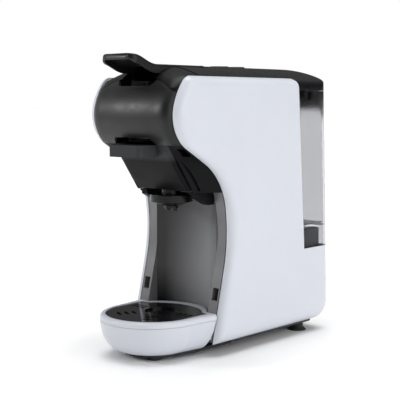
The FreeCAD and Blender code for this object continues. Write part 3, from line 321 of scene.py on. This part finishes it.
def add_hub(work):
    """Closed tube about the lever's pivot, as wide as the lever."""
    loops = []
    for x, radius in ((-LEVER_HALF, HUB_RADIUS), (LEVER_HALF, HUB_RADIUS),
                      (LEVER_HALF, HUB_BORE), (-LEVER_HALF, HUB_BORE)):
        loop = []
        for step in range(HUB_STEPS):
            angle = 2 * math.pi * step / HUB_STEPS
            place = (x, PIVOT_Y + radius * math.cos(angle), PIVOT_Z + radius * math.sin(angle))
            loop.append(work.verts.new(place))
        loops.append(loop)
    for first, second in zip(loops, loops[1:] + loops[:1]):
        join_rings(work, first, second)


def add_cam(work, x0, x1):
    """Flat cam below the pivot; its rim is farthest from the pivot straight down."""
    outline = []
    for (a0, r0), (a1, r1) in zip(CAM_RADII, CAM_RADII[1:]):
        for step in range(CAM_STEPS):
            share = step / CAM_STEPS
            turn = math.radians(a0 + (a1 - a0) * share)
            reach = r0 + (r1 - r0) * share - CAM_CLEARANCE
            outline.append((PIVOT_Y + reach * math.sin(turn), PIVOT_Z - reach * math.cos(turn)))
    last_angle, last_reach = CAM_RADII[-1]
    turn = math.radians(last_angle)
    outline.append((PIVOT_Y + last_reach * math.sin(turn), PIVOT_Z - last_reach * math.cos(turn)))
    outline.append((PIVOT_Y, PIVOT_Z + CAM_TOP))
    near = [work.verts.new((x0, y, z)) for y, z in outline]
    far = [work.verts.new((x1, y, z)) for y, z in outline]
    join_rings(work, near, far)
    work.faces.new(near)
    work.faces.new(list(reversed(far)))


def make_piece(name, mesh_work, material, body):
    """Turns the finished bmesh into a smooth-shaded piece that rides on a body."""
    bmesh.ops.recalc_face_normals(mesh_work, faces=mesh_work.faces)
    for face in mesh_work.faces:
        face.smooth = True
    for seam in mesh_work.edges:
        if len(seam.link_faces) == 2 and seam.calc_face_angle(0.0) > math.radians(SHARP_EDGE):
            seam.smooth = False
    mesh = bpy.data.meshes.new(name)
    mesh_work.to_mesh(mesh)
    mesh_work.free()
    piece = bpy.data.objects.new(name, mesh)
    bpy.context.scene.collection.objects.link(piece)
    mesh.materials.append(material)
    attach(piece, body)
    return piece


lever_work = lever_arm()
add_hub(lever_work)
add_cam(lever_work, -CAM_OUTER_X, -CAM_INNER_X)
add_cam(lever_work, CAM_INNER_X, CAM_OUTER_X)
lever_piece = make_piece("lever_moulding", lever_work, looks["lever_black"], "lever_arm")
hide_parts("lever")


# ---------------- floor ----------------
FLOOR_SIZE = 60.0
FLOOR_WHITE = 0.96

bpy.ops.mesh.primitive_plane_add(size=FLOOR_SIZE, location=(0.0, 0.0, 0.0))
floor = bpy.context.object
floor.name = "floor"
floor_look, floor_tree, floor_shader = new_material("floor_white")
floor_shader.inputs["Base Color"].default_value = (FLOOR_WHITE, FLOOR_WHITE, FLOOR_WHITE, 1.0)
floor_shader.inputs["Roughness"].default_value = 0.6
floor_shader.inputs["Specular IOR Level"].default_value = 0.0
floor.data.materials.append(floor_look)


# ---------------- light ----------------
SKY_LEVEL, SKY_TOP = 0.03, 0.46     # the world's strength at the horizon, and from SKY_FULL_AT upwards
SKY_FULL_AT = 0.8                   # as the Z of a direction of length 1
# Brighter strips at the sides: the X of the direction where each begins and is full, and its strength.
SIDE_STRIPS = ((0.60, 1.0, 3.0), (-0.80, -1.0, 1.1))
SUN_STRENGTH, SUN_SPREAD = 2.15, 50.0
SUN_FROM = (-0.04, 0.14, 1.0)


def studio_world():
    """Dome that brightens upwards and to the sides. The camera itself sees plain white."""
    world = bpy.data.worlds.new("studio")
    bpy.context.scene.world = world
    world.use_nodes = True
    sky = world.node_tree
    sky.nodes.clear()
    output = sky.nodes.new("ShaderNodeOutputWorld")
    dome = sky.nodes.new("ShaderNodeBackground")
    backdrop = sky.nodes.new("ShaderNodeBackground")
    backdrop.inputs["Color"].default_value = (1.0, 1.0, 1.0, 1.0)
    backdrop.inputs["Strength"].default_value = 1.0
    ray = sky.nodes.new("ShaderNodeTexCoord")
    split = sky.nodes.new("ShaderNodeSeparateXYZ")
    sky.links.new(ray.outputs["Generated"], split.inputs["Vector"])
    total = spread(sky, split.outputs["Z"], SKY_LEVEL, SKY_TOP, 0.0, SKY_FULL_AT)
    for begins, full, strength in SIDE_STRIPS:
        adding = sky.nodes.new("ShaderNodeMath")
        adding.operation = "ADD"
        sky.links.new(total, adding.inputs[0])
        sky.links.new(spread(sky, split.outputs["X"], 0.0, strength, begins, full), adding.inputs[1])
        total = adding.outputs["Value"]
    sky.links.new(total, dome.inputs["Strength"])
    seen = sky.nodes.new("ShaderNodeLightPath")
    choose = sky.nodes.new("ShaderNodeMixShader")
    sky.links.new(seen.outputs["Is Camera Ray"], choose.inputs["Fac"])
    sky.links.new(dome.outputs["Background"], choose.inputs[1])
    sky.links.new(backdrop.outputs["Background"], choose.inputs[2])
    sky.links.new(choose.outputs["Shader"], output.inputs["Surface"])


def aim(lamp, direction):
    """Points a lamp's back along direction, so that its light comes from there."""
    lamp.rotation_euler = Vector(direction).to_track_quat("Z", "Y").to_euler()


def area_light(name, place, target, width, height, power, colour=(1.0, 1.0, 1.0)):
    data = bpy.data.lights.new(name, "AREA")
    data.shape = "RECTANGLE"
    data.size = width
    data.size_y = height
    data.energy = power
    data.color = colour
    lamp = bpy.data.objects.new(name, data)
    bpy.context.scene.collection.objects.link(lamp)
    lamp.location = place
    aim(lamp, lamp.location - Vector(target))


def sun_light(name):
    data = bpy.data.lights.new(name, "SUN")
    data.energy = SUN_STRENGTH
    data.angle = math.radians(SUN_SPREAD)
    sun = bpy.data.objects.new(name, data)
    bpy.context.scene.collection.objects.link(sun)
    aim(sun, SUN_FROM)


studio_world()
sun_light("soft_top")
area_light("side_box", (1.7, 0.5, 0.75), target=(0.0, 0.0, 0.14), width=0.9, height=1.3, power=1.0,
           colour=(0.96, 0.98, 1.0))
area_light("front_box", (-0.95, -1.05, 0.62), target=(0.0, -0.08, 0.20), width=0.10, height=0.22, power=5.0)


# ---------------- camera, at the photograph's viewing angle ----------------
CAMERA_PLACE = (0.6711, -0.7373, 0.2460)
CAMERA_DOWN, CAMERA_TURN = 5.71, 42.79     # degrees below level, and from the front towards +X
CAMERA_SENSOR, CAMERA_LENS = 36.0, 87.3207     # millimetres

camera_data = bpy.data.cameras.new("camera")
camera_data.sensor_width = CAMERA_SENSOR
camera_data.lens = CAMERA_LENS
camera_data.clip_start = 0.01
camera_data.clip_end = 100.0
camera = bpy.data.objects.new("camera", camera_data)
bpy.context.scene.collection.objects.link(camera)
camera.location = CAMERA_PLACE
camera.rotation_euler = (math.radians(90.0 - CAMERA_DOWN), 0.0, math.radians(CAMERA_TURN))
bpy.context.scene.camera = camera

bpy.context.scene.view_settings.view_transform = "Standard"
bpy.context.scene.view_settings.look = "None"
bpy.context.scene.view_settings.exposure = 0.0
